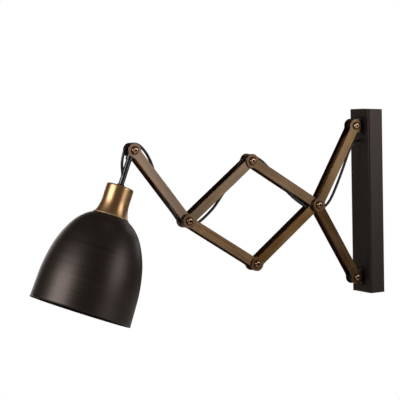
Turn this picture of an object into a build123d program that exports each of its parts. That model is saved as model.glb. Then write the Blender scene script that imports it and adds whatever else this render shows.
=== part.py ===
from build123d import *
import os
from math import acos, cos, degrees, hypot, pi, radians, sin, sqrt, tan

# Accordion wall lamp. Millimetres, +Z up. The wall is the plane x = 0 and the arm reaches out to -X.
# The arm lies in planes of constant y; -Y is its front side. The origin is the middle of the wall
# screws, on the wall.

# ---------------------------------------------------------------- driving dimensions
# Wall bar
bar_height = 302.0
bar_width = 52.0
bar_depth = 27.5
bar_wall = 1.5
bar_edge_radius = 3.5
plate_gap = 0.3
wall_plate_thickness = 2.0
wall_screw_inset = 56.0
wall_screw_hole_radius = 2.5
cable_entry_radius = 11.0
cable_entry_height = -45.0
tab_length = 14.0

# Links: two flat plates a side apart, joined only at their pivots
link_length = 146.0
link_width = 15.5
ear_radius = 11.25
neck_radius = 7.0
plate_thickness = 1.8
plate_edge = 0.35
pair_spacing = 16.0
washer_thickness = 0.4
first_plate_y = -10.0

# Where the arm stands
pivot_inset = 26.0
pivot_standoff = 13.5
upper_link_rise = 32.05
lower_link_rise = -36.75
end_link_rise = 51.5
lamp_tilt = 22.0

# Pivot hardware
shank_radius = 3.0
running_gap = 0.05
open_pivot_gap = 0.3
flange_width = 1.35
flange_height = 1.0
dome_overhang = 2.25
dome_height = 2.4
dome_flat_width = 2.35
socket_across_flats = 4.0
socket_depth = 2.2
sleeve_wall = 1.15
washer_width = 5.0
nut_washer_width = 3.2
nut_washer_thickness = 1.0
nut_wall = 2.0
nut_height = 4.6
thread_end = 1.2

# Lugs on the bar
lug_height = 16.0
lug_foot_height = 30.0
lug_foot_width = 20.0
lug_foot_thickness = 1.6
lug_screw_radius = 2.0
lug_screw_offset = 10.5
lug_screw_head_radius = 3.6
lug_screw_head_height = 2.2

# Lamp head, measured down the stem from the lamp pivot
knuckle_wall = 3.2
knuckle_boss_wall = 1.6
knuckle_socket = 6.0
stem_start = 10.0
stem_radius = 4.4
stem_wall = 1.1
stem_in_holder = 5.0
collar_wall = 1.3
collar_height = 3.5
collar_edge = 0.5
cap_top = 58.3
cap_height = 48.0
cap_radius = 21.6
cap_flare = 6.0
cap_straight = 23.0
cap_wall = 1.2
cap_edge_radius = 2.5
locknut_wall = 2.6
locknut_height = 4.0
shade_wall = 1.0
shade_height = 151.6
shade_bead_radius = 1.3
shade_ring_width = 6.1
shade_ring_height = 5.0
holder_shoulder = 1.8
holder_wall = 3.4
holder_drop = 7.0
holder_skirt_length = 16.7
holder_floor = 10.0
shell_to_cavity = 2.5
shell_wall = 0.6
shell_bore = 13.3
shell_length = 24.0
contact_radius = 4.0
contact_height = 1.6
fit_gap = 0.1

# Bell of the shade: arcs of (radius, slope where it ends), starting at this slope under the cap's rim
shade_first_slope = 27.5
shade_arcs = [(67.5, 58.9), (151.0, 76.5), (240.0, 88.0)]

# Cord
cord_radius = 2.2
bush_gap = 0.45
bush_wall = 1.05
bush_flange_width = 1.3
bush_flange_thickness = 1.0
cord_hole_drop = 25.0
slot_gap = 0.45
terminal_block_size = (16.0, 20.0, 24.0)
terminal_block_height = 46.0
terminal_screw_radius = 1.8

# ---------------------------------------------------------------- places worked out from them
pivot_spacing = bar_height - 2 * pivot_inset
wall_screw_spacing = bar_height - 2 * wall_screw_inset
cord_hole_height = pivot_spacing / 2 - cord_hole_drop
layer_step = plate_thickness + washer_thickness
pivot_x = -(bar_depth + pivot_standoff)
reach_to_centre = sqrt(link_length**2 - (pivot_spacing / 2) ** 2)


def outward(point, rise, length):
    """A point this far from another along a link that rises outward at this many degrees."""
    return (point[0] - length * cos(radians(rise)), point[1] + length * sin(radians(rise)))


# Pivot centres as (x, z)
upper_wall_pivot = (pivot_x, pivot_spacing / 2)
lower_wall_pivot = (pivot_x, -pivot_spacing / 2)
centre_pivot = (pivot_x - reach_to_centre, 0.0)
top_pivot = outward(centre_pivot, upper_link_rise, link_length)
bottom_pivot = outward(centre_pivot, lower_link_rise, link_length)
front_pivot = outward(top_pivot, lower_link_rise, link_length)
lamp_pivot = outward(front_pivot, end_link_rise, link_length)

# Layer of each link, counted from the front; the second plate of a pair lies a pair spacing behind
layer = {
    "upper_base": 0,
    "lower_base": 1,
    "inner_upper": 2,
    "inner_lower": 3,
    "outer_upper": 3,
    "outer_lower": 4,
    "end": 5,
}


def front_face(index):
    """y of the front face of the front plate in this layer."""
    return first_plate_y + index * layer_step


def gap_between(first, last):
    """y where the front plates of these layers end, and y where their back plates start."""
    return front_face(last) + plate_thickness, front_face(first) + pair_spacing


lamp_gap = gap_between(layer["end"], layer["end"])
lamp_y = sum(lamp_gap) / 2

# Sizes that follow the shank, the stem, the cap and the cord
sleeve_radius = shank_radius + running_gap + sleeve_wall
washer_radius = shank_radius + washer_width
nut_washer_radius = shank_radius + nut_washer_width
nut_across_flats = 2 * (shank_radius + nut_wall)
dome_radius = shank_radius + dome_overhang
dome_flat_radius = dome_radius - dome_flat_width
flange_radius = dome_radius + flange_width
knuckle_radius = shank_radius + knuckle_wall
knuckle_boss_radius = stem_radius + knuckle_boss_wall
knuckle_boss_end = stem_start + knuckle_socket
stem_bore = stem_radius - stem_wall
collar_radius = stem_radius + collar_wall
locknut_across_flats = 2 * (stem_radius + locknut_wall)
cap_rim_radius = cap_radius + cap_flare
shade_top = cap_top + cap_height
shell_radius = shell_bore + shell_wall
holder_cavity = shell_radius + shell_to_cavity
holder_skirt_radius = holder_cavity + holder_wall
holder_radius = holder_skirt_radius - holder_shoulder
shade_ring_radius = holder_skirt_radius + fit_gap + shade_ring_width
holder_top = cap_top + holder_drop
holder_end = shade_top + holder_skirt_length
stem_end = holder_top + stem_in_holder
bush_neck_radius = cord_radius + bush_gap + bush_wall
bush_flange_radius = bush_neck_radius + bush_flange_width


# ---------------------------------------------------------------- shape helpers
def across(point, y):
    """A plane square to the pivots, its normal along +Y, at (x, z) and this y."""
    return Plane(origin=(point[0], y, point[1]), x_dir=(1, 0, 0), z_dir=(0, 1, 0))


def disc(point, y_start, y_end, radius, bore=0.0):
    """A round disc or ring along Y between two values of y."""
    profile = Circle(radius)
    if bore:
        profile -= Circle(bore)
    return extrude(across(point, y_start) * profile, amount=y_end - y_start)


def turned(outline):
    """A solid turned about Z from a closed outline of (radius, z) edges."""
    return revolve(Plane.XZ * make_face(outline), axis=Axis.Z)


def ring(radius, bore, z_low, z_high):
    """A ring or, with no bore, a disc about Z between two heights."""
    profile = Circle(radius)
    if bore:
        profile -= Circle(bore)
    return extrude(Pos(0, 0, z_low) * profile, amount=z_high - z_low)


def group(solids):
    return Compound(children=list(solids))


parts = {}

# ---------------------------------------------------------------- links
link_outline = Pos(link_length / 2, 0) * Rectangle(link_length, link_width)
for end in (0, link_length):
    link_outline += Pos(end, 0) * Circle(ear_radius)
necks = [v for v in link_outline.vertices() if abs(abs(v.Y) - link_width / 2) < 0.01]
link_outline = fillet(necks, neck_radius)


def link_plate(start, rise, y, start_gap, end_gap):
    """One plate: a flat bar with a round ear at each end, its long edges just broken."""
    holes = Circle(shank_radius + start_gap)
    holes += Pos(link_length, 0) * Circle(shank_radius + end_gap)
    plate = extrude(link_outline, amount=plate_thickness)
    rims = plate.edges().group_by(Axis.Z)
    plate = fillet(rims[0] + rims[-1], plate_edge)
    plate -= extrude(holes, amount=plate_thickness)
    along = (-cos(radians(rise)), 0, sin(radians(rise)))
    place = Plane(origin=(start[0], y, start[1]), x_dir=along, z_dir=(0, 1, 0))
    return place * plate


def add_link(name, start, rise, end_gap=running_gap):
    y = front_face(layer[name])
    for side, shift in (("front", 0.0), ("back", pair_spacing)):
        parts[f"{name}_link_{side}"] = link_plate(start, rise, y + shift, running_gap, end_gap)


base_rise = degrees(acos(reach_to_centre / link_length))
add_link("upper_base", upper_wall_pivot, -base_rise)
add_link("lower_base", lower_wall_pivot, base_rise)
add_link("inner_upper", centre_pivot, upper_link_rise)
add_link("inner_lower", centre_pivot, lower_link_rise)
add_link("outer_upper", top_pivot, lower_link_rise)
add_link("outer_lower", bottom_pivot, upper_link_rise, open_pivot_gap)
add_link("end", front_pivot, end_link_rise)


# ---------------------------------------------------------------- pivot hardware
def flanged_screw(length):
    """A domed screw with a thin flange and a hexagon socket; z = 0 is where the flange bears."""
    dome_top = -(flange_height + dome_height)
    shoulder = ((dome_radius + dome_flat_radius) / 2 + 0.45, dome_top + dome_height / 3)
    head = Polyline(
        (0, dome_top), (0, 0), (flange_radius, 0), (flange_radius, -flange_height + 0.3)
    )
    head += Line((flange_radius, -flange_height + 0.3), (flange_radius - 0.4, -flange_height))
    head += Line((flange_radius - 0.4, -flange_height), (dome_radius, -flange_height))
    head += ThreePointArc((dome_radius, -flange_height), shoulder, (dome_flat_radius, dome_top))
    head += Line((dome_flat_radius, dome_top), (0, dome_top))
    screw = turned(head) + ring(shank_radius, 0, 0, length)
    socket = RegularPolygon(socket_across_flats / 2, 6, major_radius=False)
    screw -= extrude(Pos(0, 0, dome_top) * socket, amount=socket_depth)
    return screw


def hex_nut(across_flats, height, bore):
    nut = extrude(RegularPolygon(across_flats / 2, 6, major_radius=False), amount=height)
    nut &= ring(across_flats / 2 + 0.45, 0, 0, height)
    return nut - ring(bore, 0, 0, height)


def pivot_set(point, first, last):
    """The screw, nut, washers and the middle gap of a pivot through these layers."""
    head_y = front_face(first)
    back_y = front_face(last) + pair_spacing + plate_thickness
    nut_y = back_y + nut_washer_thickness
    length = nut_y + nut_height + thread_end - head_y
    bore = shank_radius + running_gap
    screw = across(point, head_y) * flanged_screw(length)
    nut = across(point, nut_y) * hex_nut(nut_across_flats, nut_height, bore)
    washers = [disc(point, back_y, nut_y, nut_washer_radius, bore)]
    for index in range(first, last):
        for shift in (0.0, pair_spacing):
            y = front_face(index) + plate_thickness + shift
            washers.append(disc(point, y, y + washer_thickness, washer_radius, bore))
    return screw, nut, washers


def side_washers(point, gap):
    """Two washers that line the middle gap, leaving room for what turns or stands in it."""
    bore = shank_radius + running_gap
    near = disc(point, gap[0], gap[0] + washer_thickness, washer_radius, bore)
    far = disc(point, gap[1] - washer_thickness, gap[1], washer_radius, bore)
    return [near, far]


for name, point, first, last in (
    ("centre_pivot", centre_pivot, 0, 3),
    ("top_pivot", top_pivot, 2, 3),
    ("bottom_pivot", bottom_pivot, 3, 4),
    ("front_pivot", front_pivot, 3, 5),
):
    screw, nut, washers = pivot_set(point, first, last)
    gap = gap_between(first, last)
    parts[f"{name}_screw"] = screw
    parts[f"{name}_nut"] = nut
    parts[f"{name}_washers"] = group(washers)
    parts[f"{name}_sleeve"] = disc(point, *gap, sleeve_radius, shank_radius + running_gap)

screw, nut, washers = pivot_set(lamp_pivot, layer["end"], layer["end"])
parts["lamp_pivot_screw"] = screw
parts["lamp_pivot_nut"] = nut
parts["lamp_pivot_washers"] = group(washers + side_washers(lamp_pivot, lamp_gap))

# ---------------------------------------------------------------- lugs and wall pivots
wall_screws = []
wall_nuts = []
wall_washers = []
lug_screws = []
lug_screw_holes = []


def lug(point, gap):
    """A round-ended tongue on a foot that stands on the bar's front."""
    width = gap[1] - gap[0] - 2 * washer_thickness
    middle = sum(gap) / 2
    tongue = disc(point, middle - width / 2, middle + width / 2, lug_height / 2)
    stalk = Box(pivot_standoff, width, lug_height)
    tongue += Pos(point[0] + pivot_standoff / 2, middle, point[1]) * stalk
    foot = Box(lug_foot_thickness, lug_foot_width, lug_foot_height)
    foot = fillet(foot.edges().filter_by(Axis.X), 4.0)
    tongue += Pos(-bar_depth - lug_foot_thickness / 2, middle, point[1]) * foot
    tongue -= disc(point, *gap, shank_radius + running_gap)
    for side in (-1, 1):
        place = Pos(-bar_depth, middle, point[1] + side * lug_screw_offset) * Rot(0, -90, 0)
        tongue -= place * ring(lug_screw_radius + running_gap, 0, 0, lug_foot_thickness)
        lug_screw_holes.append(place)
    return tongue


for name, point, index in (
    ("upper_lug", upper_wall_pivot, layer["upper_base"]),
    ("lower_lug", lower_wall_pivot, layer["lower_base"]),
):
    gap = gap_between(index, index)
    screw, nut, washers = pivot_set(point, index, index)
    wall_screws.append(screw)
    wall_nuts.append(nut)
    wall_washers += washers + side_washers(point, gap)
    parts[name] = lug(point, gap)

for place in lug_screw_holes:
    head = ring(lug_screw_head_radius, 0, -bar_wall - lug_screw_head_height, -bar_wall)
    lug_screws.append(place * (head + ring(lug_screw_radius, 0, -bar_wall, lug_foot_thickness)))

parts["wall_pivot_screws"] = group(wall_screws)
parts["wall_pivot_nuts"] = group(wall_nuts)
parts["wall_pivot_washers"] = group(wall_washers)
parts["lug_screws"] = group(lug_screws)

# ---------------------------------------------------------------- wall bar
inner_width = bar_width - 2 * bar_wall
inner_height = bar_height - 2 * bar_wall
housing = Pos(-bar_depth / 2, 0, 0) * Box(bar_depth, bar_width, bar_height)
front_edges = housing.edges().filter_by(Axis.Z).group_by(Axis.X)[0]
housing = fillet(front_edges, bar_edge_radius)
hollow = Box(bar_depth - bar_wall, inner_width, inner_height)
hollow = Pos(-(bar_depth - bar_wall) / 2, 0, 0) * hollow
hollow_edges = hollow.edges().filter_by(Axis.Z).group_by(Axis.X)[0]
housing -= fillet(hollow_edges, bar_edge_radius - bar_wall)
for place in lug_screw_holes:
    housing -= place * ring(lug_screw_radius + running_gap, 0, -bar_wall, 0)
cord_hole = Pos(-bar_depth, 0, cord_hole_height) * Rot(0, -90, 0)
housing -= cord_hole * ring(bush_neck_radius + running_gap, 0, -bar_wall, 0)
tab_x = -wall_plate_thickness - tab_length / 2
housing -= Pos(tab_x, 0, 0) * ring(lug_screw_radius + running_gap, 0, -bar_height / 2, 0)
parts["wall_bar_housing"] = housing

plate_height = inner_height - 2 * plate_gap
wall_plate = Box(wall_plate_thickness, inner_width - 2 * plate_gap, plate_height)
wall_plate = Pos(-wall_plate_thickness / 2, 0, 0) * wall_plate
facing_wall = Pos(-wall_plate_thickness, 0, 0) * Rot(0, 90, 0)
for side in (-1, 1):
    tab = Box(tab_length, lug_foot_width, wall_plate_thickness)
    tab_z = side * (plate_height - wall_plate_thickness) / 2
    wall_plate += Pos(tab_x, 0, tab_z) * tab
    hole = ring(wall_screw_hole_radius, 0, 0, wall_plate_thickness)
    wall_plate -= Pos(0, 0, side * wall_screw_spacing / 2) * facing_wall * hole
entry = ring(cable_entry_radius, 0, 0, wall_plate_thickness)
wall_plate -= Pos(0, 0, cable_entry_height) * facing_wall * entry
tab_hole = ring(lug_screw_radius + running_gap, 0, -plate_height / 2, -plate_height / 2 + 4)
parts["mounting_plate"] = wall_plate - Pos(tab_x, 0, 0) * tab_hole

screw_head = ring(lug_screw_head_radius, 0, -lug_screw_head_height, 0)
housing_screw = screw_head + ring(lug_screw_radius, 0, 0, bar_wall + plate_gap + 4)
parts["housing_screw"] = Pos(tab_x, 0, -bar_height / 2) * housing_screw

block = Box(*terminal_block_size)
block_edges = block.edges().filter_by(Axis.Z).group_by(Axis.X)[0]
block = fillet(block_edges, 1.5)
for y in (-6.0, 0.0, 6.0):
    hole = ring(terminal_screw_radius, 0, 0, 4) + Pos(0, 0, 4) * Cone(terminal_screw_radius, 0, 1)
    block -= Pos(-terminal_block_size[0] / 2, y, 3.0) * Rot(0, 90, 0) * hole
block_x = -wall_plate_thickness - terminal_block_size[0] / 2
parts["terminal_block"] = Pos(block_x, 0, terminal_block_height) * block

bush = ring(bush_flange_radius, 0, 0, bush_flange_thickness)
bush = fillet(bush.edges().group_by(Axis.Z)[-1], 0.6)
bush += ring(bush_neck_radius, 0, -bar_wall, 0)
bush += ring(bush_flange_radius - 0.8, 0, -bar_wall - 0.8, -bar_wall)
bush -= ring(cord_radius + bush_gap, 0, -bar_wall - 0.8, bush_flange_thickness)
parts["cord_bush"] = cord_hole * bush

# ---------------------------------------------------------------- lamp head
# Its own axis runs down the stem: z here is minus the distance from the lamp pivot.
head_place = Plane(
    origin=(lamp_pivot[0], lamp_y, lamp_pivot[1]),
    x_dir=(cos(radians(lamp_tilt)), 0, -sin(radians(lamp_tilt))),
    z_dir=(sin(radians(lamp_tilt)), 0, cos(radians(lamp_tilt))),
)


def on_stem(distance):
    """The (x, z) of the point this far down the stem."""
    tilt = radians(lamp_tilt)
    return lamp_pivot[0] - distance * sin(tilt), lamp_pivot[1] - distance * cos(tilt)


def knuckle():
    """An eye between the end link's plates with a boss that takes the stem."""
    width = lamp_gap[1] - lamp_gap[0] - 2 * washer_thickness
    eye = Rot(90, 0, 0) * ring(knuckle_radius, 0, -width / 2, width / 2)
    eye = fillet(eye.edges().filter_by(GeomType.CIRCLE), 1.0)
    boss = ring(knuckle_boss_radius, 0, -knuckle_boss_end, 0)
    boss = fillet(boss.edges().group_by(Axis.Z)[0], 0.8)
    eye += boss & Box(2 * knuckle_radius, width, 4 * knuckle_boss_end)
    eye -= Rot(90, 0, 0) * ring(shank_radius + running_gap, 0, -width, width)
    return eye - ring(stem_radius + running_gap, 0, -knuckle_boss_end, -stem_start)


def cup():
    """The cap: a straight cup with a rounded top that flares to a rim, open underneath."""
    flare_start = cap_top + cap_straight
    outer = Line((stem_radius + fit_gap, -cap_top), (cap_radius - cap_edge_radius, -cap_top))
    outer += TangentArc(
        (cap_radius - cap_edge_radius, -cap_top),
        (cap_radius, -cap_top - cap_edge_radius),
        tangent=(1, 0),
    )
    outer += Line((cap_radius, -cap_top - cap_edge_radius), (cap_radius, -flare_start))
    outer += TangentArc((cap_radius, -flare_start), (cap_rim_radius, -shade_top), tangent=(0, -1))
    inner_radius = cap_radius - cap_wall
    inner_edge = cap_edge_radius - cap_wall
    inner = Line((cap_rim_radius, -shade_top), (cap_rim_radius - cap_wall, -shade_top))
    inner += TangentArc(
        (inner_radius, -flare_start), (cap_rim_radius - cap_wall, -shade_top), tangent=(0, -1)
    )
    inner += Line((inner_radius, -flare_start), (inner_radius, -cap_top - cap_edge_radius))
    inner += TangentArc(
        (inner_radius - inner_edge, -cap_top - cap_wall),
        (inner_radius, -cap_top - cap_edge_radius),
        tangent=(1, 0),
    )
    inner += Line(
        (inner_radius - inner_edge, -cap_top - cap_wall),
        (stem_radius + fit_gap, -cap_top - cap_wall),
    )
    inner += Line((stem_radius + fit_gap, -cap_top - cap_wall), (stem_radius + fit_gap, -cap_top))
    return turned(outer + inner)


def bell_line(inset):
    """Points down the bell, this far inside its skin: the ends and middles of its arcs, and the rim."""
    radius = cap_rim_radius
    depth = 0.0
    slope = shade_first_slope
    points = [(radius - inset * sin(radians(slope)), depth + inset * cos(radians(slope)))]
    for size, last_slope in shade_arcs:
        for step in (0.5, 1.0):
            here = slope + step * (last_slope - slope)
            r = radius + size * (sin(radians(here)) - sin(radians(slope)))
            s = depth + size * (cos(radians(slope)) - cos(radians(here)))
            points.append((r - inset * sin(radians(here)), s + inset * cos(radians(here))))
        radius, depth, slope = r, s, last_slope
    rim_radius = radius + (shade_height - depth) / tan(radians(slope))
    points.append((rim_radius - inset / sin(radians(slope)), shade_height))
    return [(r, -shade_top - s) for r, s in points]


def bell():
    """The shade: a spun bell with a flat top round the lampholder and a rolled rim."""
    hole = holder_skirt_radius + fit_gap
    outer = bell_line(0.0)
    inner = bell_line(shade_wall)
    outline = Line((hole, -shade_top), outer[0])
    skins = []
    for points in (outer, inner):
        skin = Line(points[6], points[7])
        for i in (0, 2, 4):
            skin += ThreePointArc(points[i], points[i + 1], points[i + 2])
        skins.append(skin)
    top_inner = (inner[0][0], -shade_top - shade_wall)
    outline += skins[0] + skins[1] + Line(outer[7], inner[7])
    outline += Line(inner[0], top_inner)
    outline += Line(top_inner, (hole, -shade_top - shade_wall))
    outline += Line((hole, -shade_top - shade_wall), (hole, -shade_top))
    rim = outer[7]
    bead_at = (rim[0] - shade_bead_radius + 0.5, rim[1])
    face = make_face(outline) + Pos(*bead_at) * Circle(shade_bead_radius)
    return revolve(Plane.XZ * face, axis=Axis.Z)


shell_start = holder_top + holder_floor + contact_height + fit_gap
holder = ring(holder_radius, 0, -shade_top + fit_gap, -holder_top)
holder = fillet(holder.edges().group_by(Axis.Z)[-1], 2.0)
holder += ring(holder_skirt_radius, 0, -holder_end, -shade_top + fit_gap)
holder -= ring(holder_cavity, 0, -holder_end, -shell_start - shell_length)
holder -= ring(shell_radius + fit_gap, 0, -holder_end, -holder_top - holder_floor)
holder -= ring(stem_radius + fit_gap, 0, -holder_top - holder_floor / 2, -holder_top)

stem = ring(stem_radius, stem_bore, -stem_end, -stem_start)
collar = ring(collar_radius, stem_radius + running_gap, -cap_top, -cap_top + collar_height)
locknut_z = -cap_top - cap_wall - locknut_height
head_parts = {
    "lamp_knuckle": knuckle(),
    "stem_collar": fillet(collar.edges().group_by(Axis.Z)[-1], collar_edge),
    "lamp_cap": cup(),
    "stem_locknut": Pos(0, 0, locknut_z)
    * hex_nut(locknut_across_flats, locknut_height, stem_radius + running_gap),
    "shade": bell(),
    "shade_ring": ring(
        shade_ring_radius,
        holder_skirt_radius + fit_gap,
        -shade_top - shade_wall - shade_ring_height,
        -shade_top - shade_wall,
    ),
    "lampholder_body": holder,
    "lampholder_screw_shell": ring(
        shell_radius, shell_bore, -shell_start - shell_length, -shell_start
    ),
    "lampholder_contact": ring(
        contact_radius, 0, -shell_start + fit_gap, -holder_top - holder_floor
    ),
}

# ---------------------------------------------------------------- cord
# Its route, chosen by hand, as (x, y, z), in the gap between the paired plates. Each piece of it ends
# in the middle of the run that joins it to the next, so their ends meet face to face.
cord_in_bar = [
    (-10.0, 0.0, 58.0),
    (-10.0, 0.0, 74.0),
    (-11.5, 0.0, 90.0),
    (-19.5, 0.0, 100.0),
    (-34.5, 0.0, 100.0),
    (-45.0, 0.2, 91.5),
    (-52.0, 0.8, 76.0),
    (-61.5, 1.5, 53.0),
]
cord_past_centre = [
    (-83.0, 2.2, 9.0),
    (-97.0, 2.2, -5.5),
    (-115.0, 2.2, -10.5),
    (-132.0, 2.2, -6.5),
    (-148.0, 2.3, 2.0),
    (-162.0, 2.5, 14.0),
    (-174.5, 2.8, 28.0),
]
cord_over_top = [
    (-197.0, 3.6, 55.0),
    (-207.5, 4.1, 68.0),
    (-219.0, 4.4, 78.0),
    (-233.0, 4.4, 85.0),
    (-246.5, 4.4, 83.5),
    (-257.0, 4.5, 73.5),
    (-266.5, 4.7, 60.0),
    (-276.5, 5.1, 45.5),
]
cord_under_front = [
    (-296.5, 6.0, 19.5),
    (-306.5, 6.5, 7.5),
    (-319.0, 7.0, -3.5),
    (-331.5, 7.4, -12.5),
    (-344.5, 7.7, -18.5),
    (-357.5, 7.8, -19.5),
    (-367.5, 7.8, -13.5),
    (-376.5, 7.9, -1.5),
    (-386.0, 8.2, 13.0),
    (-395.0, 8.7, 28.5),
]
cord_over_lamp = [
    (-409.0, 9.7, 65.0),
    (-415.0, 9.9, 83.5),
    (-423.0, 9.9, 98.5),
    (-433.0, 9.9, 110.0),
    (-442.0, 9.9, 114.2),
    (-452.0, 9.9, 113.6),
    (-460.2, 9.9, 107.3),
    (-464.0, 9.9, 97.0),
    (-466.3, 9.9, 86.0),
    (-466.0, 9.9, 75.5),
    (-465.4, 9.9, 65.0),
]
cord_in_holder = [(on_stem(distance)[0], lamp_y, on_stem(distance)[1]) for distance in (56.0, 68.0)]
cord_names = {
    "cord_base": cord_in_bar,
    "cord_at_centre_pivot": cord_past_centre,
    "cord_at_top_pivot": cord_over_top,
    "cord_at_front_pivot": cord_under_front,
    "cord_at_lamp_pivot": cord_over_lamp,
    "cord_in_stem": cord_in_holder,
}


def halfway(a, b):
    return tuple((i + j) / 2 for i, j in zip(a, b))


def cord_path(points):
    """Straight runs joined by arcs as large as the two runs beside each point allow."""
    vectors = [Vector(*p) for p in points]
    radii = []
    for before, here, after in zip(vectors, vectors[1:], vectors[2:]):
        turn = (here - before).get_angle(after - here)
        shorter = min((here - before).length, (after - here).length)
        radii.append(0.45 * shorter / tan(radians(turn) / 2))
    return FilletPolyline(*points, radius=radii), radii


def tube(path, radius):
    """A round solid along a path."""
    start = Plane(origin=path @ 0, z_dir=path % 0)
    return sweep(start * Circle(radius), path=path)


cord_length = 0.0
names = list(cord_names)
for i, name in enumerate(names):
    points = list(cord_names[name])
    if i > 0:
        points.insert(0, halfway(cord_names[names[i - 1]][-1], points[0]))
    if i < len(names) - 1:
        points.append(halfway(cord_names[name][-1], cord_names[names[i + 1]][0]))
    path, radii = cord_path(points)
    parts[name] = tube(path, cord_radius)
    cord_length += path.length
    expected = pi * cord_radius**2 * path.length
    print(name, "length", round(path.length, 1), "radii", [round(r, 1) for r in radii])
    print("  volume to section times length", round(parts[name].volume / expected, 4))
    for before, here in zip(points, points[1:]):
        run = hypot(*(b - a for a, b in zip(before, here)))
        if run > 30 * cord_radius:
            print("  long run", before, here, round(run, 1))
print("cord length", round(cord_length, 1))

# The cord enters the stem through a slot in its outer side.
slot_path, slot_radii = cord_path(cord_over_lamp[-3:] + cord_in_holder[:1])
stem = head_place * stem
stem -= tube(slot_path, cord_radius + slot_gap)
parts["stem_tube"] = stem
for name, solid in head_parts.items():
    parts[name] = head_place * solid

os.makedirs("parts", exist_ok=True)
for name, shape in parts.items():
    export_step(shape, f"parts/{name}.step")
print(len(parts), "nodes; shade rim radius", round(bell_line(0.0)[-1][0], 2))
for name, point in (
    ("upper_wall_pivot", upper_wall_pivot),
    ("lower_wall_pivot", lower_wall_pivot),
    ("centre_pivot", centre_pivot),
    ("top_pivot", top_pivot),
    ("bottom_pivot", bottom_pivot),
    ("front_pivot", front_pivot),
    ("lamp_pivot", lamp_pivot),
    ("shade_rim", on_stem(shade_top + shade_height)),
):
    print(name, round(point[0], 2), round(point[1], 2))
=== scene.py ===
import math
import random

import bmesh
import bpy
from mathutils import Matrix, Vector


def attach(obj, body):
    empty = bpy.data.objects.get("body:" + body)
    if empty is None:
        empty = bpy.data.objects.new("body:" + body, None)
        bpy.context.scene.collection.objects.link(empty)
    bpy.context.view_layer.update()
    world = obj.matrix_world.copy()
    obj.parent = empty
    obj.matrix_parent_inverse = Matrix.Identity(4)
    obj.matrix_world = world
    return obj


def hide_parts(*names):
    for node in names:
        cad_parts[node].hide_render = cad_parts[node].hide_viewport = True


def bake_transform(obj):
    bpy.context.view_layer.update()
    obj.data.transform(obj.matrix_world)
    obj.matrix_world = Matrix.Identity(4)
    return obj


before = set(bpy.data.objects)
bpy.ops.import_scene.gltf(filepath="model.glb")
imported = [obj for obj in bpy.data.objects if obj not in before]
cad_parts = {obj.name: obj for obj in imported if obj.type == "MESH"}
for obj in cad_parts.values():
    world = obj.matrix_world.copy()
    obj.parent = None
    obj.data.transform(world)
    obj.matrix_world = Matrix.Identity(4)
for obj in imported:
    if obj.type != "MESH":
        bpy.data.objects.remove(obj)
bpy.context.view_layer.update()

MM = 0.001
scene = bpy.context.scene
scene.view_settings.view_transform = "Standard"

# ---------------------------------------------------------------- sizes of the lamp, in millimetres
# The wall is the plane x = 0 and the arm reaches out to -X; -Y is its front side.
PIVOTS = {
    "upper_wall": (-41.0, 125.0),
    "lower_wall": (-41.0, -125.0),
    "centre": (-116.44, 0.0),
    "top": (-240.19, 77.48),
    "bottom": (-233.42, -87.36),
    "front": (-357.17, -9.88),
    "lamp": (-448.06, 104.38),
}
FIRST_PLATE_Y = -10.0
LAYER_STEP = 2.2
PAIR_SPACING = 16.0
PLATE = 1.8
LAMP_TILT = math.radians(22.0)
LAMP_Y = 9.9
CORD_RADIUS = 2.2
CORD_SIDES = 20

# Links: how many degrees each rises outward, and its layer from the front
LINKS = {
    "upper_base": (-58.89, 0),
    "lower_base": (58.89, 1),
    "inner_upper": (32.05, 2),
    "inner_lower": (-36.75, 3),
    "outer_upper": (-36.75, 3),
    "outer_lower": (32.05, 4),
    "end": (51.5, 5),
}
LINK_LENGTH = 146.0
LINK_STARTS = {
    "upper_base": "upper_wall",
    "lower_base": "lower_wall",
    "inner_upper": "centre",
    "inner_lower": "centre",
    "outer_upper": "top",
    "outer_lower": "bottom",
    "end": "front",
}

# Lamp head: distances down the stem from the lamp pivot, and radii
CAP_TOP = 58.3
CAP_HEIGHT = 48.0
CAP_STRAIGHT = 23.0
CAP_RADIUS = 21.6
CAP_FLARE = 6.0
CAP_EDGE = 2.5
CAP_WALL = 1.2
STEM_RADIUS = 4.4
SHADE_TOP = CAP_TOP + CAP_HEIGHT
SHADE_HEIGHT = 151.6
SHADE_WALL = 1.0
SHADE_BEAD = 0.9
SHADE_HOLE = 19.9
SHADE_SHOULDER = 24.0
SHELL_TOP = 77.0
SHELL_LENGTH = 24.0
SHELL_RADIUS = 13.6
SHELL_WALL = 0.5
COLLAR_RADIUS = 5.7
COLLAR_HEIGHT = 3.5
SHADE_FIRST_SLOPE = 27.5
SHADE_ARCS = [(67.5, 58.9), (151.0, 76.5), (240.0, 88.0)]


def front_face(layer):
    """y of the front face of the front plate in this layer."""
    return FIRST_PLATE_Y + layer * LAYER_STEP


def on_stem(distance):
    """The point this far down the stem from the lamp pivot."""
    x, z = PIVOTS["lamp"]
    return (x - distance * math.sin(LAMP_TILT), LAMP_Y, z - distance * math.cos(LAMP_TILT))


def metres(point):
    return Vector(point) * MM


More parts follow.
